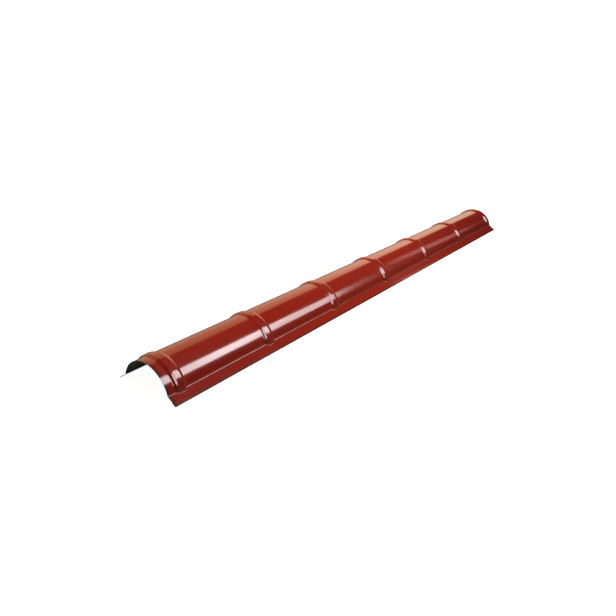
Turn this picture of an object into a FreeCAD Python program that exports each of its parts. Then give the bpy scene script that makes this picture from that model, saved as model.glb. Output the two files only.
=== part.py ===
"""Roof ridge cap: a half-round ridge of coated steel sheet with seven cross ribs.

Millimetres. X runs along the ridge, with the plain neck at its -X end, Y runs
across it and Z is up. The origin is at the middle of the box that the ridge
fills, on the level that its two hems lie on.
"""

import FreeCAD
import Part

import math
import os
from enum import IntEnum

import Sketcher


class Place(IntEnum):
    """The places on an edge of a sketch, as its constraints number them."""

    START = 1
    END = 2
    CENTRE = 3


class Axis(IntEnum):
    """A sketch's own axes, as its constraints number them."""

    HORIZONTAL = -1
    VERTICAL = -2


START, END, CENTRE = Place
H_AXIS, V_AXIS = Axis
ORIGIN = (H_AXIS, START)
QUARTER_TURN = math.pi / 2

# Driving dimensions, in millimetres and degrees. The barrel's radius, the ribs
# and the flanges are measured on the outer face of the sheet.

SIZES = (
    ("ridge_length", 2000.0),
    ("rib_pitch", 323.0),
    ("first_rib", 41.0),
    ("barrel_radius", 82.5),
    ("barrel_half_angle", 76.0),
    ("flange_width", 32.0),
    ("flange_slope", 33.0),
    ("sheet_thickness", 0.5),
    ("rib_width", 34.0),
    ("rib_height", 4.8),
    ("rib_flank_angle", 42.0),
    ("rib_rounding", 3.0),
    ("hem_width", 14.0),
    ("hem_gap", 0.8),
)

document = FreeCAD.newDocument("RoofRidgeCap")
sheet = document.addObject("Spreadsheet::Sheet", "Sizes")
for row, (alias, size) in enumerate(SIZES, start=1):
    sheet.set(f"A{row}", alias)
    sheet.set(f"B{row}", str(size))
    sheet.setAlias(f"B{row}", alias)
document.recompute()

# Sizes that follow from the driving ones

HALF_ANGLE = "(Sizes.barrel_half_angle * 1 deg)"
SLOPE = "(Sizes.flange_slope * 1 deg)"
FLANK_ANGLE = "(Sizes.rib_flank_angle * 1 deg)"
HEM_RADIUS = "(Sizes.sheet_thickness + Sizes.hem_gap / 2)"
FIRST_RIB_X = "(Sizes.first_rib - Sizes.ridge_length / 2)"
RIB_COUNT = "(floor((Sizes.ridge_length - Sizes.first_rib) / Sizes.rib_pitch + 0.5) + 1)"
FOOT_Y = f"(Sizes.barrel_radius * sin({HALF_ANGLE}))"
FOOT_Z = f"(Sizes.barrel_radius * cos({HALF_ANGLE}))"
AXIS_HEIGHT = (
    f"((Sizes.flange_width - {HEM_RADIUS}) * sin({SLOPE})"
    f" + {HEM_RADIUS} * (1 + cos({SLOPE})) - {FOOT_Z})"
)

# The frame of the right-hand flange: its origin is at the crease, x runs out
# along the flange and y stands off its outer face.

FLANGE_FRAME = {
    "Base.x": FOOT_Y,
    "Base.y": FOOT_Z,
    "Rotation.Angle": f"-{SLOPE}",
}

body = document.addObject("PartDesign::Body", "RidgeCap")
body.Label = "ridge_cap"


def value(expression):
    """The number that an expression gives at the sheet's present sizes."""
    result = sheet.evalExpression(expression)
    return float(getattr(result, "Value", result))


def origin_feature(role):
    """The plane or axis of the body's origin that has this role."""
    return next(item for item in body.Origin.OriginFeatures if item.Role == role)


def new_sketch(name, plane, frame):
    """A sketch on an origin plane, shifted and turned in it by expressions."""
    sketch = body.newObject("Sketcher::SketchObject", name)
    sketch.AttachmentSupport = [(origin_feature(plane), "")]
    sketch.MapMode = "FlatFace"
    for path, expression in frame.items():
        sketch.setExpression(f".AttachmentOffset.{path}", expression)
    return sketch


def line(sketch, start, end):
    """A line between two points of a sketch."""
    first = FreeCAD.Vector(*start, 0)
    last = FreeCAD.Vector(*end, 0)
    return sketch.addGeometry(Part.LineSegment(first, last), False)


def arc(sketch, centre, radius, first, last):
    """An arc of a sketch, anticlockwise between two angles in radians."""
    circle = Part.Circle(FreeCAD.Vector(*centre, 0), FreeCAD.Vector(0, 0, 1), radius)
    return sketch.addGeometry(Part.ArcOfCircle(circle, first, last), False)


def outline(sketch, points):
    """A closed outline of straight lines through points, in order."""
    edges = [
        line(sketch, start, end)
        for start, end in zip(points, points[1:] + points[:1])
    ]
    tie(sketch, "Coincident", [
        (first, END, second, START)
        for first, second in zip(edges, edges[1:] + edges[:1])
    ])
    return edges


def tie(sketch, kind, pairs):
    """The same constraint at several pairs of end points."""
    for pair in pairs:
        sketch.addConstraint(Sketcher.Constraint(kind, *pair))


def measure(sketch, name, expression, kind, *places):
    """A named dimension of a sketch that follows an expression."""
    size = value(expression)
    if kind == "Angle":
        size = math.radians(size)
    dimension = Sketcher.Constraint(kind, *places, size)
    sketch.renameConstraint(sketch.addConstraint(dimension), name)
    sketch.setExpression(f"Constraints.{name}", expression)


def pitch_profile(name, depth):
    """One pitch of the barrel with its rib, at a depth under the outer face.

    The rib has straight flanks and a flat crest with rounded edges. The outline
    closes along the barrel's axis.
    """
    sketch = new_sketch(name, "XZ_Plane", {"Base.x": FIRST_RIB_X})
    width = f"Sizes.rib_width - 2 * {depth} * tan({FLANK_ANGLE} / 2)"
    radius = value(f"Sizes.barrel_radius - {depth}")
    rounding = value(f"Sizes.rib_rounding - {depth}")
    crest = radius + value("Sizes.rib_height")
    end_x = value("Sizes.rib_pitch / 2")
    foot_x = value(width) / 2
    lean = math.radians(value("Sizes.rib_flank_angle"))
    crest_x = foot_x - (crest - radius) / math.tan(lean) - rounding * math.tan(lean / 2)
    round_x = crest_x + rounding * math.sin(lean)
    round_y = crest - rounding * (1 - math.cos(lean))

    near = line(sketch, (-end_x, 0), (-end_x, radius))
    before = line(sketch, (-end_x, radius), (-foot_x, radius))
    rise = line(sketch, (-foot_x, radius), (-round_x, round_y))
    over = arc(sketch, (-crest_x, crest - rounding), rounding, QUARTER_TURN, QUARTER_TURN + lean)
    top = line(sketch, (-crest_x, crest), (crest_x, crest))
    under = arc(sketch, (crest_x, crest - rounding), rounding, QUARTER_TURN - lean, QUARTER_TURN)
    fall = line(sketch, (round_x, round_y), (foot_x, radius))
    after = line(sketch, (foot_x, radius), (end_x, radius))
    far = line(sketch, (end_x, radius), (end_x, 0))
    axis = line(sketch, (end_x, 0), (-end_x, 0))

    tie(sketch, "Coincident", (
        (near, END, before, START),
        (before, END, rise, START),
        (fall, END, after, START),
        (after, END, far, START),
        (far, END, axis, START),
        (axis, END, near, START),
    ))
    tie(sketch, "Tangent", (
        (rise, END, over, END),
        (over, START, top, START),
        (top, END, under, END),
        (under, START, fall, START),
    ))
    sketch.addConstraint([
        Sketcher.Constraint("Vertical", near),
        Sketcher.Constraint("Vertical", far),
        Sketcher.Constraint("Horizontal", before),
        Sketcher.Constraint("Horizontal", after),
        Sketcher.Constraint("PointOnObject", near, START, H_AXIS),
        Sketcher.Constraint("Symmetric", near, START, far, END, V_AXIS),
        Sketcher.Constraint("Symmetric", rise, START, fall, END, V_AXIS),
        Sketcher.Constraint("Symmetric", top, START, top, END, V_AXIS),
        Sketcher.Constraint("Equal", over, under),
    ])
    measure(sketch, "pitch", "Sizes.rib_pitch", "DistanceX", near, START, far, END)
    measure(sketch, "radius", f"Sizes.barrel_radius - {depth}", "DistanceY",
            near, START, near, END)
    measure(sketch, "width", width, "DistanceX", rise, START, fall, END)
    measure(sketch, "height", "Sizes.rib_height", "DistanceY", rise, START, top, START)
    measure(sketch, "flank", FLANK_ANGLE, "Angle", rise)
    measure(sketch, "rounding", f"Sizes.rib_rounding - {depth}", "Radius", over)
    return sketch


def under_flange_profile():
    """A block under the flange, from inside the barrel to well past its side."""
    sketch = new_sketch("UnderFlange", "YZ_Plane", FLANGE_FRAME)
    root = value(FLANGE_ROOT)
    level = value("Sizes.sheet_thickness")
    reach = value("Sizes.barrel_radius")
    upper, outer, lower, inner = outline(sketch, [
        (-root, -level),
        (reach, -level),
        (reach, -level - reach),
        (-root, -level - reach),
    ])
    sketch.addConstraint([
        Sketcher.Constraint("Horizontal", upper),
        Sketcher.Constraint("Horizontal", lower),
        Sketcher.Constraint("Vertical", outer),
        Sketcher.Constraint("Vertical", inner),
    ])
    measure(sketch, "root", FLANGE_ROOT, "DistanceX", upper, START, *ORIGIN)
    measure(sketch, "level", "Sizes.sheet_thickness", "DistanceY", upper, START, *ORIGIN)
    measure(sketch, "reach", "Sizes.barrel_radius", "DistanceX", *ORIGIN, upper, END)
    measure(sketch, "depth", "Sizes.barrel_radius", "DistanceY", outer, END, outer, START)
    return sketch


def flange_profile():
    """The flange's sheet in section, with its edge folded back under it."""
    sketch = new_sketch("FlangeSection", "YZ_Plane", FLANGE_FRAME)
    root = value(FLANGE_ROOT)
    thickness = value("Sizes.sheet_thickness")
    bend = value(HEM_RADIUS)
    bend_x = value("Sizes.flange_width") - bend
    return_x = value("Sizes.flange_width - Sizes.hem_width")

    face = line(sketch, (-root, 0), (bend_x, 0))
    outside = arc(sketch, (bend_x, -bend), bend, -QUARTER_TURN, QUARTER_TURN)
    back = line(sketch, (bend_x, -2 * bend), (return_x, -2 * bend))
    edge = line(sketch, (return_x, -2 * bend), (return_x, thickness - 2 * bend))
    inner_back = line(sketch, (return_x, thickness - 2 * bend), (bend_x, thickness - 2 * bend))
    inside = arc(sketch, (bend_x, -bend), bend - thickness, -QUARTER_TURN, QUARTER_TURN)
    lower_face = line(sketch, (bend_x, -thickness), (-root, -thickness))
    inner_end = line(sketch, (-root, -thickness), (-root, 0))

    tie(sketch, "Tangent", (
        (face, END, outside, END),
        (outside, START, back, START),
        (inner_back, END, inside, START),
        (inside, END, lower_face, START),
    ))
    tie(sketch, "Coincident", (
        (back, END, edge, START),
        (edge, END, inner_back, START),
        (lower_face, END, inner_end, START),
        (inner_end, END, face, START),
        (outside, CENTRE, inside, CENTRE),
    ))
    sketch.addConstraint([
        Sketcher.Constraint("PointOnObject", face, START, H_AXIS),
        Sketcher.Constraint("Horizontal", face),
        Sketcher.Constraint("Horizontal", back),
        Sketcher.Constraint("Horizontal", inner_back),
        Sketcher.Constraint("Horizontal", lower_face),
        Sketcher.Constraint("Vertical", edge),
        Sketcher.Constraint("Vertical", inner_end),
    ])
    measure(sketch, "root", FLANGE_ROOT, "DistanceX", face, START, *ORIGIN)
    measure(sketch, "width", f"Sizes.flange_width - {HEM_RADIUS}", "DistanceX",
            *ORIGIN, face, END)
    measure(sketch, "bend", HEM_RADIUS, "Radius", outside)
    measure(sketch, "thickness", "Sizes.sheet_thickness", "DistanceY",
            inner_end, START, inner_end, END)
    measure(sketch, "hem", f"Sizes.hem_width - {HEM_RADIUS}", "DistanceX",
            back, END, back, START)
    return sketch


def shear_profile():
    """Two blocks seen from above, one past each end of the finished length."""
    sketch = new_sketch("EndShears", "XY_Plane", {})
    half_length = value("Sizes.ridge_length / 2")
    run = value("Sizes.rib_pitch")
    side = value("Sizes.barrel_radius + Sizes.flange_width")
    for name, sign in (("near", -1), ("far", 1)):
        cut, left, outer, right = outline(sketch, [
            (sign * half_length, -side),
            (sign * half_length, side),
            (sign * (half_length + run), side),
            (sign * (half_length + run), -side),
        ])
        sketch.addConstraint([
            Sketcher.Constraint("Symmetric", cut, START, cut, END, H_AXIS),
            Sketcher.Constraint("Vertical", outer),
            Sketcher.Constraint("Horizontal", left),
            Sketcher.Constraint("Horizontal", right),
        ])
        ends = (*ORIGIN, cut, START) if sign > 0 else (cut, START, *ORIGIN)
        runs = (left, START, left, END) if sign > 0 else (left, END, left, START)
        measure(sketch, f"{name}_end", "Sizes.ridge_length / 2", "DistanceX", *ends)
        measure(sketch, f"{name}_run", "Sizes.rib_pitch", "DistanceX", *runs)
        measure(sketch, f"{name}_width", "2 * (Sizes.barrel_radius + Sizes.flange_width)",
                "DistanceY", cut, START, cut, END)
    return sketch


def repeat_along_ridge(feature, name):
    """Repeat a feature at every rib, one pitch apart."""
    row = body.newObject("PartDesign::LinearPattern", name)
    row.Originals = [feature]
    row.Direction = (origin_feature("X_Axis"), [""])
    row.setExpression("Length", f"({RIB_COUNT} - 1) * Sizes.rib_pitch")
    row.setExpression("Occurrences", RIB_COUNT)
    body.Tip = row
    document.recompute()
    return row


def mirror_across(feature, name):
    """Repeat a feature on the other side of the ridge line."""
    pair = body.newObject("PartDesign::Mirrored", name)
    pair.Originals = [feature]
    pair.MirrorPlane = (origin_feature("XZ_Plane"), [""])
    body.Tip = pair
    document.recompute()
    return pair


def check_removed(feature):
    """Stop if a cut that was just made took nothing away."""
    before = feature.BaseFeature.Shape.Volume
    after = feature.Shape.Volume
    if not after < before:
        raise ValueError(f"{feature.Label} left the volume at {after}")


# The flange's sheet starts this far inside the barrel, which is then hollowed

FLANGE_ROOT = "(Sizes.barrel_radius / 4)"

# The ribbed barrel, solid, rolled past both creases and trimmed by the flanges

outer_profile = pitch_profile("OuterProfile", "0")
barrel = body.newObject("PartDesign::Revolution", "Barrel")
barrel.Profile = outer_profile
barrel.ReferenceAxis = (outer_profile, ["H_Axis"])
barrel.Midplane = True
barrel.setExpression("Angle", f"2 * ({HALF_ANGLE} + {SLOPE})")
document.recompute()
repeat_along_ridge(barrel, "BarrelRow")

flange_trim = body.newObject("PartDesign::Pocket", "FlangeTrim")
flange_trim.Profile = under_flange_profile()
flange_trim.Type = "ThroughAll"
flange_trim.Midplane = True
document.recompute()
check_removed(flange_trim)
check_removed(mirror_across(flange_trim, "FlangeTrimPair"))

# The two hemmed flanges

flange = body.newObject("PartDesign::Pad", "Flange")
flange.Profile = flange_profile()
flange.Midplane = True
flange.setExpression("Length", "Sizes.ridge_length")
document.recompute()
mirror_across(flange, "FlangePair")

# The hollow, which leaves the barrel and its ribs one sheet thick

inner_profile = pitch_profile("InnerProfile", "Sizes.sheet_thickness")
hollow = body.newObject("PartDesign::Groove", "Hollow")
hollow.Profile = inner_profile
hollow.ReferenceAxis = (inner_profile, ["H_Axis"])
hollow.Angle = 360
document.recompute()
check_removed(hollow)
repeat_along_ridge(hollow, "HollowRow")

# Both ends sheared square, the far one just past the last rib

shears = body.newObject("PartDesign::Pocket", "Shears")
shears.Profile = shear_profile()
shears.Type = "ThroughAll"
shears.Midplane = True
document.recompute()
check_removed(shears)

body.setExpression(".Placement.Base.z", AXIS_HEIGHT)
document.recompute()

for item in document.Objects:
    if "Invalid" in item.State or "Error" in item.State:
        raise ValueError(f"{item.Label} failed: {item.State}")

if body.Shape.isNull() or not body.Shape.isValid():
    raise ValueError("the ridge cap is not a valid shape")

os.makedirs("parts", exist_ok=True)
body.Shape.exportStep(f"parts/{body.Label}.step")
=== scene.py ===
"""Looks of a roof ridge cap, one roll-formed sheet of coated steel, around its CAD frame.

Metres throughout. X runs along the ridge from its plain neck to its last rib, Y across
it and Z up, with the hems of both flanges lying on the floor at Z = 0.
"""

import logging
import math
from dataclasses import dataclass, field
from enum import Enum

import bmesh
import bpy
from mathutils import Matrix, Vector

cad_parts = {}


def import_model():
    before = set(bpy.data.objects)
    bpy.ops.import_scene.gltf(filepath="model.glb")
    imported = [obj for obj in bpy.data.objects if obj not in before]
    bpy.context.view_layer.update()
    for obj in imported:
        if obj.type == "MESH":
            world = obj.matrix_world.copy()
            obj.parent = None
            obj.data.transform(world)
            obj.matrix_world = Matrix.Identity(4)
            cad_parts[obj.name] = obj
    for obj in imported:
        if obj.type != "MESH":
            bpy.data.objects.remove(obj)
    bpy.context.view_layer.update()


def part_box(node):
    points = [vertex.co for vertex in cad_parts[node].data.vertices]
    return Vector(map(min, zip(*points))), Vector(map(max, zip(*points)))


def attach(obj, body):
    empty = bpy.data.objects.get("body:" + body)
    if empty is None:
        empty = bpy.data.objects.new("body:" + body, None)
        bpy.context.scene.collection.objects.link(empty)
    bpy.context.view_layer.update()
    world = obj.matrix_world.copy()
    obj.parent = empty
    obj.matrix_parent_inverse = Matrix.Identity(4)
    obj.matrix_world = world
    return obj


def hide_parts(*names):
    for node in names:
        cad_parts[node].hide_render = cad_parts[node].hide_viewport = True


MM = 0.001
WHITE = (1.0, 1.0, 1.0)
log = logging.getLogger("ridge_cap_looks")


class SheetFace(Enum):
    """The three kinds of surface that one piece of coated sheet has, in material order."""

    TOP_COAT = 0
    BACKING = 1
    CUT_EDGE = 2


class RibCorner(Enum):
    """The four bends that a cross rib's outline has, from the neck's side to the other."""

    NEAR_FOOT = 0
    NEAR_SHOULDER = 1
    FAR_SHOULDER = 2
    FAR_FOOT = 3


class LightUse(Enum):
    """What a light does for the sheet: it shows in the gloss, or it lights the paint evenly."""

    GLOSS = "gloss"
    FILL = "fill"


@dataclass(frozen=True)
class Pattern:
    """A noise: its features per metre, its octaves, its squeeze along each axis, its height."""

    scale: float
    detail: float
    stretch: tuple = (1.0, 1.0, 1.0)
    height: float = 0.0


class NodeBench:
    """The node tree of a material or the world, with short ways to add and wire its nodes."""

    # The sockets of a Mix node that it mixes colours with
    mix_share = 0
    mix_colours = (6, 7)
    mix_result = 2

    def __init__(self, tree: bpy.types.NodeTree, coordinates: str) -> None:
        """Take up a tree.

        Args:
            tree: The node tree.
            coordinates: The texture coordinates that its places are read in.
        """
        self.tree = tree
        self.place = self.add("ShaderNodeTexCoord").outputs[coordinates]

    def add(self, kind: str, **settings: object) -> bpy.types.Node:
        """Add a node.

        Args:
            kind: The node's type name.
            **settings: Properties of the node to set.

        Returns:
            The new node.
        """
        node = self.tree.nodes.new(kind)
        for name, setting in settings.items():
            setattr(node, name, setting)
        return node

    def wire(self, source: object, target: bpy.types.NodeSocket) -> None:
        """Link an output to a socket, or set the socket when given a plain value.

        Args:
            source: An output socket, a number or a colour.
            target: The input socket.
        """
        if isinstance(source, bpy.types.NodeSocket):
            self.tree.links.new(source, target)
        else:
            target.default_value = source

    def axes(self) -> list[bpy.types.NodeSocket]:
        """Take the place apart.

        Returns:
            Its X, Y and Z.
        """
        node = self.add("ShaderNodeSeparateXYZ")
        self.wire(self.place, node.inputs["Vector"])
        return list(node.outputs)

    def reckon(self, operation: str, *numbers: object) -> bpy.types.NodeSocket:
        """Work a number out from others.

        Args:
            operation: The Math node's operation.
            *numbers: Its inputs, each a socket or a plain number.

        Returns:
            The result.
        """
        node = self.add("ShaderNodeMath", operation=operation)
        for number, socket in zip(numbers, node.inputs):
            self.wire(number, socket)
        return node.outputs["Value"]

    def spread(
        self, source: object, low: float, high: float, to_low: float = 0.0, to_high: float = 1.0,
    ) -> bpy.types.NodeSocket:
        """Map a range of a value softly onto another range, clamped.

        Args:
            source: The value.
            low: The value that becomes to_low.
            high: The value that becomes to_high.
            to_low: The result at low.
            to_high: The result at high.

        Returns:
            The mapped value.
        """
        node = self.add("ShaderNodeMapRange", interpolation_type="SMOOTHSTEP")
        ends = {"Value": source, "From Min": low, "From Max": high, "To Min": to_low, "To Max": to_high}
        for name, value in ends.items():
            self.wire(value, node.inputs[name])
        return node.outputs["Result"]

    def blend(self, share: object, first: object, second: object) -> bpy.types.NodeSocket:
        """Mix two colours.

        Args:
            share: How much of the second colour shows, from 0 to 1.
            first: The first colour.
            second: The second colour.

        Returns:
            The mixed colour.
        """
        node = self.add("ShaderNodeMix", data_type="RGBA")
        self.wire(share, node.inputs[self.mix_share])
        for colour, index in zip((first, second), self.mix_colours):
            self.wire(colour, node.inputs[index])
        return node.outputs[self.mix_result]


class CoatBench(NodeBench):
    """A material's node tree, round one Principled shader and on the piece's own coordinates."""

    def __init__(self, name: str) -> None:
        """Start a material.

        Args:
            name: The material's name.
        """
        self.material = bpy.data.materials.new(name)
        self.material.use_nodes = True
        super().__init__(self.material.node_tree, "Object")
        self.shader = self.tree.nodes["Principled BSDF"]

    def noise(self, pattern: Pattern) -> bpy.types.NodeSocket:
        """Lay out a noise.

        Args:
            pattern: The noise.

        Returns:
            The noise's grey output, from 0 to 1.
        """
        mapping = self.add("ShaderNodeMapping")
        self.wire(self.place, mapping.inputs["Vector"])
        self.wire(pattern.stretch, mapping.inputs["Scale"])
        node = self.add("ShaderNodeTexNoise")
        self.wire(mapping.outputs["Vector"], node.inputs["Vector"])
        self.wire(pattern.scale, node.inputs["Scale"])
        self.wire(pattern.detail, node.inputs["Detail"])
        return node.outputs["Fac"]

    def relief(self, *patterns: Pattern) -> bpy.types.NodeSocket:
        """Lay noises over each other as unevenness of the surface.

        Args:
            *patterns: The noises, each with its height.

        Returns:
            The uneven surface's normal.
        """
        normal = None
        for pattern in patterns:
            node = self.add("ShaderNodeBump")
            self.wire(1.0, node.inputs["Strength"])
            self.wire(pattern.height, node.inputs["Distance"])
            self.wire(self.noise(pattern), node.inputs["Height"])
            if normal is not None:
                self.wire(normal, node.inputs["Normal"])
            normal = node.outputs["Normal"]
        return normal

    def finish(self, sockets: dict[str, object]) -> bpy.types.Material:
        """Wire or set the shader's sockets.

        Args:
            sockets: What each named socket gets: an output, a number or a colour.

        Returns:
            The finished material.
        """
        for name, source in sockets.items():
            self.wire(source, self.shader.inputs[name])
        return self.material


@dataclass(frozen=True)
class TopCoat:
    """The glossy red-brown coil coating on the weather side, darkened along its flange edges and both ends
    by painted shade.
    """

    paint: tuple = (0.150, 0.0062, 0.0024, 1.0)
    faded: tuple = (0.170, 0.0112, 0.0046, 1.0)
    # Colour of the painted shade along the flanges' folded edges and at both cut ends
    edge_shade_colour: tuple = (0.040, 0.006, 0.005, 1.0)
    middle: tuple = (300.0 * MM, 950.0 * MM)
    middle_fading: tuple = (1.0, 0.2)
    patches: Pattern = Pattern(2.2, 3.0, (0.35, 1.0, 1.0))
    patch_range: tuple = (0.35, 0.65)
    patch_fading: tuple = (0.6, 1.0)
    side_painted_shade: tuple = (101.8 * MM, 104.6 * MM)
    side_painted_shade_share: tuple = (0.0, 1.0)
    end_painted_shade: tuple = (988.5 * MM, 996.0 * MM)
    end_painted_shade_share: tuple = (0.0, 0.85)
    handling: Pattern = Pattern(14.0, 4.0, (0.5, 1.0, 1.0))
    handling_range: tuple = (0.3, 0.7)
    roughness: tuple = (0.115, 0.16)
    ior: float = 1.5
    waves: Pattern = Pattern(5.0, 1.0, (0.6, 1.0, 1.0), 0.35 * MM)
    grain: Pattern = Pattern(900.0, 1.0, height=0.004 * MM)

    def material(self) -> bpy.types.Material:
        """Make the coating's material.

        Returns:
            The material.
        """
        bench = CoatBench("top_coat_red_brown")
        along, across, _ = bench.axes()
        from_middle = bench.reckon("ABSOLUTE", along)
        from_crown = bench.reckon("ABSOLUTE", across)
        fading = bench.reckon(
            "MULTIPLY",
            bench.spread(from_middle, *self.middle, *self.middle_fading),
            bench.spread(bench.noise(self.patches), *self.patch_range, *self.patch_fading),
        )
        paint = bench.blend(fading, self.paint, self.faded)
        # Painted shade: darken the paint in a band along each flange's folded edge and towards both cut
        # ends
        for share in (
            bench.spread(from_crown, *self.side_painted_shade, *self.side_painted_shade_share),
            bench.spread(from_middle, *self.end_painted_shade, *self.end_painted_shade_share),
        ):
            paint = bench.blend(share, paint, self.edge_shade_colour)
        return bench.finish({
            "Base Color": paint,
            "Roughness": bench.spread(bench.noise(self.handling), *self.handling_range, *self.roughness),
            "IOR": self.ior,
            "Normal": bench.relief(self.waves, self.grain),
        })


@dataclass(frozen=True)
class BackingCoat:
    """The thin coat on the side that faces the roof, darkened to near black as painted shade of the arch's
    underside.
    """

    # Painted shade: the coat's own colour darkened to near black for the shaded underside
    paint: tuple = (0.0035, 0.0075, 0.0055, 1.0)
    worn: tuple = (0.012, 0.020, 0.016, 1.0)
    mottle: Pattern = Pattern(60.0, 5.0, (0.3, 1.0, 1.0))
    worn_range: tuple = (0.35, 0.7)
    rough_range: tuple = (0.3, 0.7)
    roughness: tuple = (0.48, 0.62)
    specular: float = 0.25
    grain: Pattern = Pattern(700.0, 2.0, height=0.006 * MM)

    def material(self) -> bpy.types.Material:
        """Make the backing coat's material.

        Returns:
            The material.
        """
        bench = CoatBench("backing_coat_painted_shade")
        mottle = bench.noise(self.mottle)
        return bench.finish({
            "Base Color": bench.blend(bench.spread(mottle, *self.worn_range), self.paint, self.worn),
            "Roughness": bench.spread(mottle, *self.rough_range, *self.roughness),
            "Specular IOR Level": self.specular,
            "Normal": bench.relief(self.grain),
        })


@dataclass(frozen=True)
class CutEdge:
    """The sheared edge of the sheet: zinc and steel, with the paint drawn over it."""

    steel: tuple = (0.21, 0.20, 0.19, 1.0)
    paint: tuple = (0.10, 0.014, 0.010, 1.0)
    shear: Pattern = Pattern(420.0, 3.0)
    smear_range: tuple = (0.42, 0.62)
    metallic: tuple = (0.1, 0.8)
    roughness: float = 0.42

    def material(self) -> bpy.types.Material:
        """Make the cut edge's material.

        Returns:
            The material.
        """
        bench = CoatBench("cut_edge_zinc")
        shear = bench.noise(self.shear)
        return bench.finish({
            "Base Color": bench.blend(bench.spread(shear, *self.smear_range), self.paint, self.steel),
            "Metallic": bench.spread(shear, *self.smear_range, *self.metallic),
            "Roughness": self.roughness,
        })


@dataclass(frozen=True)
class StudioFloor:
    """The pale floor: matt white acrylic, lit from below."""

    paint: tuple = (0.30, 0.30, 0.298, 1.0)
    pale_paint: tuple = (0.303, 0.303, 0.301, 1.0)
    tone: Pattern = Pattern(1.5, 3.0)
    tone_range: tuple = (0.3, 0.7)
    glow: float = 0.965
    roughness: float = 0.9
    specular: float = 0.1

    def material(self) -> bpy.types.Material:
        """Make the floor's material.

        Returns:
            The material.
        """
        bench = CoatBench("pale_floor")
        tone = bench.spread(bench.noise(self.tone), *self.tone_range)
        return bench.finish({
            "Base Color": bench.blend(tone, self.paint, self.pale_paint),
            "Emission Strength": self.glow,
            "Emission Color": (*WHITE, 1.0),
            "Roughness": self.roughness,
            "Specular IOR Level": self.specular,
        })


def only(kind: type, items: list) -> list:
    """Pick the mesh elements of one kind.

    Args:
        kind: The type of the points or edges wanted.
        items: What a mesh operator returned.

    Returns:
        Those of that kind.
    """
    return [item for item in items if isinstance(item, kind)]


def points_of(edges: list[bmesh.types.BMEdge]) -> list[bmesh.types.BMVert]:
    """Find the points that edges run between.

    Args:
        edges: The edges.

    Returns:
        Each of their points once.
    """
    return list(dict.fromkeys(point for edge in edges for point in edge.verts))


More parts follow.
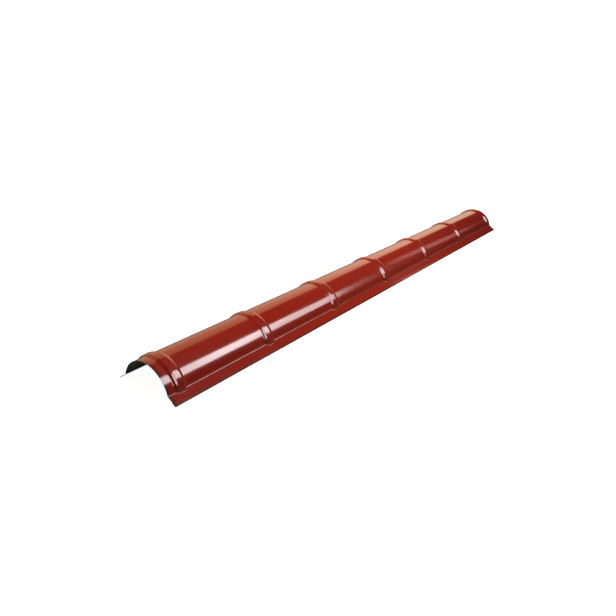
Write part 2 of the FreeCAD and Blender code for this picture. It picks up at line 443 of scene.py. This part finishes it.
@dataclass
class RidgeSheet:
    """The whole cap: ribbed barrel, two flanges and two folded edges, from one sheet."""

    length: float
    rib_count: int = 7
    first_rib: float = 41.0 * MM
    rib_pitch: float = 323.0 * MM
    rib_width: float = 34.0 * MM
    rib_height: float = 4.8 * MM
    rib_flank: float = 5.4 * MM
    near_rounding: tuple = (1.8 * MM, 5.2 * MM)
    far_rounding: tuple = (3.3 * MM, 3.7 * MM)
    beside_rounding: float = 0.6 * MM
    barrel_radius: float = 82.5 * MM
    half_angle: float = math.radians(76.0)
    before_crease: float = math.radians(3.5)
    past_crease: float = math.radians(7.5)
    slope: float = math.radians(33.0)
    flange_width: float = 32.0 * MM
    flange_shares: tuple = (0.34, 0.62, 1.0)
    thickness: float = 0.5 * MM
    hem_width: float = 14.0 * MM
    hem_gap: float = 0.8 * MM
    sharp_angle: float = math.radians(38.0)
    # How finely the mesh is divided
    bend_steps: int = 6
    run_cuts: int = 7
    barrel_steps: int = 46
    hem_steps: int = 8
    crease_rows: int = 9
    crease_passes: int = 4
    crease_smoothing: float = 0.5
    # How near counts as the same place, in metres and for the ring in radians
    cut_tolerance: float = 1e-7
    mirror_tolerance: float = 1e-6
    merge_tolerance: float = 2e-6
    row_tolerance: float = 1e-5
    ring_tolerance: float = 1e-4
    name: str = "ridge_cap_sheet"
    mesh: bmesh.types.BMesh = field(default_factory=bmesh.new)

    @property
    def hem_radius(self) -> float:
        """Outer radius of the folded edge."""
        return self.thickness + self.hem_gap / 2

    @property
    def flange_reach(self) -> float:
        """Distance from the crease at which the folded edge starts to turn."""
        return self.flange_width - self.hem_radius

    @property
    def axis_height(self) -> float:
        """Height of the barrel's axis above the floor.

        Returns:
            The height at which the lowest points of both hems touch the floor.
        """
        drop = self.flange_reach * math.sin(self.slope)
        fold = self.hem_radius * (1.0 + math.cos(self.slope))
        return drop + fold - self.barrel_radius * math.cos(self.half_angle)

    @property
    def last_ring(self) -> float:
        """Angle from the crown at which the barrel's last ring of points lies."""
        return self.half_angle - self.before_crease

    @property
    def flange_rows(self) -> list[float]:
        """Distances from the crease of the rows of points on the flange."""
        return [share * self.flange_reach for share in self.flange_shares]

    @property
    def outward(self) -> Vector:
        """Direction down the right-hand flange, away from the barrel."""
        return Vector((0.0, -math.cos(self.slope), -math.sin(self.slope)))

    @property
    def flange_normal(self) -> Vector:
        """Direction that the right-hand flange's weather side faces."""
        return Vector((0.0, -math.sin(self.slope), math.cos(self.slope)))

    @property
    def crease(self) -> Vector:
        """A point on the crease between barrel and right-hand flange."""
        turn = self.half_angle
        return Vector((0.0, -self.barrel_radius * math.sin(turn), self.barrel_radius * math.cos(turn)))

    @property
    def rounding(self) -> dict[RibCorner, float]:
        """How far from each of a rib's corners its rounding starts."""
        return {
            RibCorner.NEAR_FOOT: self.near_rounding[0],
            RibCorner.NEAR_SHOULDER: self.near_rounding[1],
            RibCorner.FAR_SHOULDER: self.far_rounding[1],
            RibCorner.FAR_FOOT: self.far_rounding[0],
        }

    def everything(self) -> list:
        """All points, edges and faces of the mesh so far."""
        return self.mesh.verts[:] + self.mesh.edges[:] + self.mesh.faces[:]

    def crest_line(self) -> dict[RibCorner, list[bmesh.types.BMVert]]:
        """Draw the crown's line from end to end as it rises over every rib.

        Returns:
            The points at each of the ribs' corners, all still sharp.
        """
        start = -self.length / 2
        plain = self.barrel_radius
        crest = plain + self.rib_height
        foot = self.rib_width / 2
        shoulder = foot - self.rib_flank
        clear = {corner: setback + self.beside_rounding for corner, setback in self.rounding.items()}
        stations = [(start, plain, None)]
        for index in range(self.rib_count):
            middle = start + self.first_rib + index * self.rib_pitch
            stations += [
                (middle - foot - clear[RibCorner.NEAR_FOOT], plain, None),
                (middle - foot, plain, RibCorner.NEAR_FOOT),
                (middle - shoulder, crest, RibCorner.NEAR_SHOULDER),
                (middle - shoulder + clear[RibCorner.NEAR_SHOULDER], crest, None),
                (middle + shoulder - clear[RibCorner.FAR_SHOULDER], crest, None),
                (middle + shoulder, crest, RibCorner.FAR_SHOULDER),
                (middle + foot, plain, RibCorner.FAR_FOOT),
            ]
            if index < self.rib_count - 1:
                stations.append((middle + foot + clear[RibCorner.FAR_FOOT], plain, None))
        stations.append((self.length / 2, plain, None))
        corners = {corner: [] for corner in RibCorner}
        points = []
        for along, radius, corner in stations:
            points.append(self.mesh.verts.new((along, 0.0, radius)))
            if corner is not None:
                corners[corner].append(points[-1])
        for first, second in zip(points, points[1:]):
            self.mesh.edges.new((first, second))
        return corners

    def soften_ribs(self, corners: dict[RibCorner, list[bmesh.types.BMVert]]) -> None:
        """Round every corner of the ribs, and divide the long plain runs.

        Args:
            corners: The sharp points at each of the ribs' corners.
        """
        for corner, points in corners.items():
            edges = list(dict.fromkeys(edge for point in points for edge in point.link_edges))
            bmesh.ops.bevel(
                self.mesh, geom=points + edges, affect="VERTICES", offset=self.rounding[corner],
                offset_type="OFFSET", segments=self.bend_steps, profile=0.5, material=-1,
            )
        long_runs = [edge for edge in self.mesh.edges if edge.calc_length() > self.rib_pitch / 2]
        bmesh.ops.subdivide_edges(self.mesh, edges=long_runs, cuts=self.run_cuts)

    def sweep(self, geometry: list, centre: Vector, angle: float, steps: int) -> list:
        """Sweep points and edges round a line along the ridge.

        Args:
            geometry: The points and edges.
            centre: A point on the line.
            angle: How far to turn, in radians.
            steps: How many rows of faces to make.

        Returns:
            The points and edges at the end of the sweep.
        """
        return bmesh.ops.spin(
            self.mesh, geom=geometry, cent=centre, axis=(1.0, 0.0, 0.0), dvec=(0.0, 0.0, 0.0),
            angle=angle, steps=steps, use_merge=False, use_duplicate=False,
        )["geom_last"]

    def roll_barrel(self) -> None:
        """Sweep the crown's line round the axis, down to just past the right-hand crease."""
        axis = Vector((0.0, 0.0, 0.0))
        ring = self.sweep(self.everything(), axis, self.last_ring, self.barrel_steps)
        self.sweep(ring, axis, self.past_crease, 1)

    def trim_to_flange(self) -> list[bmesh.types.BMEdge]:
        """Cut the barrel and its ribs off along the plane of the right-hand flange.

        Returns:
            The cut edges, end to end.
        """
        cut = bmesh.ops.bisect_plane(
            self.mesh, geom=self.everything(), dist=self.cut_tolerance,
            plane_co=self.crease, plane_no=self.flange_normal, clear_inner=True,
        )["geom_cut"]
        return only(bmesh.types.BMEdge, cut)

    def extrude_edges(self, edges: list[bmesh.types.BMEdge]) -> tuple[list, list]:
        """Extrude a run of edges in place.

        Args:
            edges: The edges.

        Returns:
            The new edges, and their points.
        """
        new = bmesh.ops.extrude_edge_only(self.mesh, edges=edges)["geom"]
        points = only(bmesh.types.BMVert, new)
        found = set(points)
        return [edge for edge in only(bmesh.types.BMEdge, new) if set(edge.verts) <= found], points

    def flange_frame(self, distance: float) -> Matrix:
        """The frame of the right-hand flange at a distance from the crease.

        Args:
            distance: Metres down the flange.

        Returns:
            A matrix whose axes are the ridge, the slope and the flange's normal.
        """
        frame = Matrix.Identity(4)
        frame.col[1].xyz = self.outward
        frame.col[2].xyz = self.flange_normal
        frame.col[3].xyz = self.crease + distance * self.outward
        return frame

    def draw_flange(self, crease_edges: list[bmesh.types.BMEdge]) -> list[bmesh.types.BMEdge]:
        """Draw the sheet out from the crease to the start of the folded edge.

        Args:
            crease_edges: The run of edges along the crease.

        Returns:
            The edges along the flange's outer side.
        """
        edges = crease_edges
        for distance in self.flange_rows:
            edges, points = self.extrude_edges(edges)
            place = self.flange_frame(distance)
            bmesh.ops.scale(self.mesh, vec=(1.0, 0.0, 1.0), space=place.inverted(), verts=points)
        return edges

    def fold_hem(self, edges: list[bmesh.types.BMEdge]) -> None:
        """Fold the flange's outer edge back under it.

        Args:
            edges: The edges along the flange's outer side.
        """
        centre = self.crease + self.flange_reach * self.outward - self.hem_radius * self.flange_normal
        folded = self.sweep(points_of(edges) + edges, centre, math.pi, self.hem_steps)
        _, points = self.extrude_edges(only(bmesh.types.BMEdge, folded))
        back = (self.hem_radius - self.hem_width) * self.outward
        bmesh.ops.translate(self.mesh, vec=back, verts=points)

    def near_crease(self, point: bmesh.types.BMVert) -> bool:
        """Tell whether a point lies between the barrel's last ring and the flange's first row.

        Args:
            point: The point.

        Returns:
            True if it lies strictly between them.
        """
        turn = math.atan2(-point.co.y, point.co.z)
        down = (point.co - self.crease).dot(self.outward)
        below_ring = turn > self.last_ring + self.ring_tolerance
        return below_ring and down < self.flange_rows[0] - self.row_tolerance

    def round_crease(self, edges: list[bmesh.types.BMEdge]) -> None:
        """Give the crease between barrel and flange its bending radius.

        Args:
            edges: The run of edges along the crease.
        """
        along = set(edges)
        touching = dict.fromkeys(edge for point in points_of(edges) for edge in point.link_edges)
        across = [edge for edge in touching if edge not in along]
        bmesh.ops.subdivide_edges(self.mesh, edges=across, cuts=self.crease_rows, use_grid_fill=True)
        bend = [point for point in self.mesh.verts if self.near_crease(point)]
        for _ in range(self.crease_passes):
            bmesh.ops.smooth_vert(
                self.mesh, verts=bend, factor=self.crease_smoothing,
                use_axis_x=False, use_axis_y=True, use_axis_z=True,
            )

    def complete(self) -> None:
        """Mirror the finished half across the ridge line and lift it onto the floor."""
        bmesh.ops.mirror(
            self.mesh, geom=self.everything(), matrix=Matrix.Identity(4),
            merge_dist=self.mirror_tolerance, axis="Y",
        )
        bmesh.ops.remove_doubles(self.mesh, verts=self.mesh.verts[:], dist=self.merge_tolerance)
        bmesh.ops.recalc_face_normals(self.mesh, faces=self.mesh.faces[:])
        crown = max(self.mesh.faces, key=lambda face: face.calc_center_median().z)
        if crown.normal.z < 0:
            bmesh.ops.reverse_faces(self.mesh, faces=self.mesh.faces[:])
        bmesh.ops.translate(self.mesh, vec=(0.0, 0.0, self.axis_height), verts=self.mesh.verts[:])

    def thicken(self, shell: bpy.types.Object) -> None:
        """Give the sheet its thickness, with a backing side and cut edges of their own.

        Args:
            shell: The weather side, as an object, which becomes the solid sheet.
        """
        wall = shell.modifiers.new("sheet_thickness", "SOLIDIFY")
        wall.thickness = self.thickness
        wall.offset = -1.0
        wall.use_even_offset = True
        wall.material_offset = SheetFace.BACKING.value
        wall.material_offset_rim = SheetFace.CUT_EDGE.value
        depsgraph = bpy.context.evaluated_depsgraph_get()
        solid = bpy.data.meshes.new_from_object(shell.evaluated_get(depsgraph))
        shell.modifiers.clear()
        shell.data = solid
        solid.name = self.name
        solid.shade_smooth()
        solid.set_sharp_from_angle(angle=self.sharp_angle)

    def build(self) -> bpy.types.Object:
        """Form the sheet and dress it.

        Returns:
            The finished piece, which rides on the frame.
        """
        self.soften_ribs(self.crest_line())
        self.roll_barrel()
        crease_edges = self.trim_to_flange()
        self.fold_hem(self.draw_flange(crease_edges))
        self.round_crease(crease_edges)
        self.complete()
        data = bpy.data.meshes.new(self.name)
        self.mesh.to_mesh(data)
        self.mesh.free()
        piece = bpy.data.objects.new(self.name, data)
        bpy.context.scene.collection.objects.link(piece)
        finishes = {
            SheetFace.TOP_COAT: TopCoat(),
            SheetFace.BACKING: BackingCoat(),
            SheetFace.CUT_EDGE: CutEdge(),
        }
        for face in SheetFace:
            data.materials.append(finishes[face].material())
        self.thicken(piece)
        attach(piece, "root")
        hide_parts("ridge_cap")
        return piece


@dataclass(frozen=True)
class SoftPanel:
    """A long soft light hung from one end to the other and turned towards the ridge line."""

    name: str
    start: tuple
    end: tuple
    width: float
    radiance: float
    tint: tuple
    use: LightUse = LightUse.GLOSS
    aim_height: float = 50.0 * MM

    def build(self) -> bpy.types.Object:
        """Hang the light.

        Returns:
            The light.
        """
        start = Vector(self.start)
        end = Vector(self.end)
        middle = (start + end) / 2
        along = (end - start).normalized()
        back = Vector((0.0, middle.y, middle.z - self.aim_height))
        back = (back - back.dot(along) * along).normalized()
        lamp = bpy.data.lights.new(self.name, "AREA")
        lamp.shape = "RECTANGLE"
        lamp.size = (end - start).length
        lamp.size_y = self.width
        lamp.color = self.tint
        lamp.energy = self.radiance * math.pi * lamp.size * lamp.size_y
        turn = Matrix.Identity(3)
        turn.col[0] = along
        turn.col[1] = back.cross(along)
        turn.col[2] = back
        light = bpy.data.objects.new(self.name, lamp)
        light.matrix_world = Matrix.Translation(middle) @ turn.to_4x4()
        light.visible_glossy = self.use is LightUse.GLOSS
        light.visible_diffuse = self.use is LightUse.FILL
        bpy.context.scene.collection.objects.link(light)
        return light


@dataclass(frozen=True)
class Room:
    """The room that the glossy sheet mirrors: dim, with one warm lit wall on its far side."""

    dim: tuple = (0.035, 0.035, 0.037, 1.0)
    wall_near: tuple = (1.30, 0.84, 0.44, 1.0)
    wall_far: tuple = (1.72, 1.22, 0.88, 1.0)
    wall_foot: tuple = (0.72, 0.78, 0.62, 1.0)
    end_wall: tuple = (2.45, 1.62, 1.08, 1.0)
    ground: tuple = (0.30, 0.27, 0.22, 1.0)
    backdrop: tuple = (1.05, 1.05, 1.05, 1.0)
    wall_top: float = math.radians(60.0)
    edge_softness: float = 0.02
    turn_to_far: tuple = (0.55, 0.88)
    turn_to_end: tuple = (0.70, 0.86)
    end_wall_rise: tuple = (0.08, 0.40)
    foot_rise: tuple = (0.02, 0.30)
    ground_rise: tuple = (-0.06, 0.0)

    def build(self) -> bpy.types.World:
        """Make the world's shader.

        Returns:
            The world.
        """
        world = bpy.data.worlds.new("studio_room")
        world.use_nodes = True
        bench = NodeBench(world.node_tree, "Generated")
        ahead, aside, up = bench.axes()
        climb = bench.reckon("MULTIPLY", up, math.cos(self.wall_top))
        climb = bench.reckon("MULTIPLY_ADD", aside, -math.sin(self.wall_top), climb)
        above_wall = bench.spread(climb, -self.edge_softness, self.edge_softness)
        at_end = bench.reckon(
            "MULTIPLY",
            bench.spread(ahead, *self.turn_to_end),
            bench.spread(up, *self.end_wall_rise),
        )
        lit = bench.blend(bench.spread(ahead, *self.turn_to_far), self.wall_near, self.wall_far)
        lit = bench.blend(bench.spread(up, *self.foot_rise), self.wall_foot, lit)
        lit = bench.blend(at_end, lit, self.end_wall)
        lit = bench.blend(above_wall, lit, self.dim)
        lit = bench.blend(bench.spread(up, *self.ground_rise), self.ground, lit)
        # Only the camera sees the plain backdrop
        to_camera = bench.add("ShaderNodeLightPath").outputs["Is Camera Ray"]
        seen = bench.blend(to_camera, lit, self.backdrop)
        bench.wire(seen, bench.tree.nodes["Background"].inputs["Color"])
        return world


@dataclass(frozen=True)
class Studio:
    """The pale floor, the soft lights and the room round the ridge."""

    floor_side: float = 60.0
    panels: tuple = (
        SoftPanel(
            "overhead_fill", (-0.90, -0.53, 1.95), (0.65, -0.53, 1.95), 2.64, 7.5, WHITE, LightUse.FILL,
        ),
        SoftPanel("side_window", (-1.45, -2.15, 1.45), (-0.10, -2.15, 1.45), 1.60, 13.0, (1.0, 0.93, 0.95)),
        # The key light is one long row, which dims towards the far end
        SoftPanel("key_first", (0.15, -1.53, 1.60), (0.69, -1.642, 1.60), 1.02, 13.8, (1.0, 0.94, 0.97)),
        SoftPanel("key_near", (0.70, -1.644, 1.60), (1.45, -1.80, 1.60), 1.02, 17.6, (1.0, 0.94, 0.97)),
        SoftPanel("key_second", (1.46, -1.76, 1.60), (1.80, -1.835, 1.60), 1.12, 12.9, (1.0, 0.91, 0.92)),
        SoftPanel("key_middle", (1.81, -1.837, 1.60), (2.74, -2.04, 1.60), 1.06, 9.7, (1.0, 0.91, 0.92)),
        SoftPanel("key_tail", (2.73, -2.04, 1.60), (2.88, -2.07, 1.60), 0.95, 1.7, (1.0, 0.86, 0.86)),
        SoftPanel("key_end", (2.89, -2.07, 1.60), (3.90, -2.25, 1.60), 1.00, 0.35, (1.0, 0.80, 0.80)),
        SoftPanel("far_strip", (2.65, -0.78, 1.60), (6.00, -2.20, 1.60), 0.66, 2.1, (1.0, 0.55, 0.48)),
    )

    def lay_floor(self) -> bpy.types.Object:
        """Lay the floor, which neither lights the ridge nor shows in its gloss.

        Returns:
            The floor.
        """
        mesh = bmesh.new()
        bmesh.ops.create_grid(mesh, x_segments=2, y_segments=2, size=self.floor_side / 2)
        data = bpy.data.meshes.new("studio_floor")
        mesh.to_mesh(data)
        mesh.free()
        data.materials.append(StudioFloor().material())
        floor = bpy.data.objects.new("studio_floor", data)
        bpy.context.scene.collection.objects.link(floor)
        floor.visible_glossy = False
        floor.visible_diffuse = False
        return floor

    def build(self) -> None:
        """Lay the floor, hang the lights and make the room."""
        self.lay_floor()
        for panel in self.panels:
            panel.build()
        bpy.context.scene.world = Room().build()
        bpy.context.scene.view_settings.view_transform = "Standard"


@dataclass(frozen=True)
class PhotoCamera:
    """The camera that took the photograph, as fitted to the ridge's outline."""

    place: tuple = (-1.7231, -1.0175, 0.7679)
    heading: float = math.radians(36.641)
    tilt: float = math.radians(24.066)
    roll: float = math.radians(-1.983)
    lens: float = 33.629
    sensor: float = 36.0

    def build(self) -> bpy.types.Object:
        """Set up the camera.

        Returns:
            The camera.
        """
        level = math.cos(self.tilt)
        rise = -math.sin(self.tilt)
        view = Vector((level * math.cos(self.heading), level * math.sin(self.heading), rise))
        right = view.cross(Vector((0.0, 0.0, 1.0))).normalized()
        down = view.cross(right)
        turn = Matrix.Identity(3)
        turn.col[0] = math.cos(self.roll) * right + math.sin(self.roll) * down
        turn.col[1] = math.sin(self.roll) * right - math.cos(self.roll) * down
        turn.col[2] = -view
        data = bpy.data.cameras.new("photo_camera")
        data.lens = self.lens
        data.sensor_width = self.sensor
        data.sensor_fit = "HORIZONTAL"
        camera = bpy.data.objects.new("photo_camera", data)
        camera.matrix_world = Matrix.Translation(self.place) @ turn.to_4x4()
        bpy.context.scene.collection.objects.link(camera)
        bpy.context.scene.camera = camera
        return camera


def main() -> None:
    """Build the ridge, its studio and its camera."""
    logging.basicConfig(level=logging.INFO, format="%(name)s: %(message)s")
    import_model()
    low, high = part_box("ridge_cap")
    ridge = RidgeSheet(length=high.x - low.x).build()
    log.info("%s: %d faces", ridge.name, len(ridge.data.polygons))
    Studio().build()
    PhotoCamera().build()


if __name__ == "__main__":
    main()
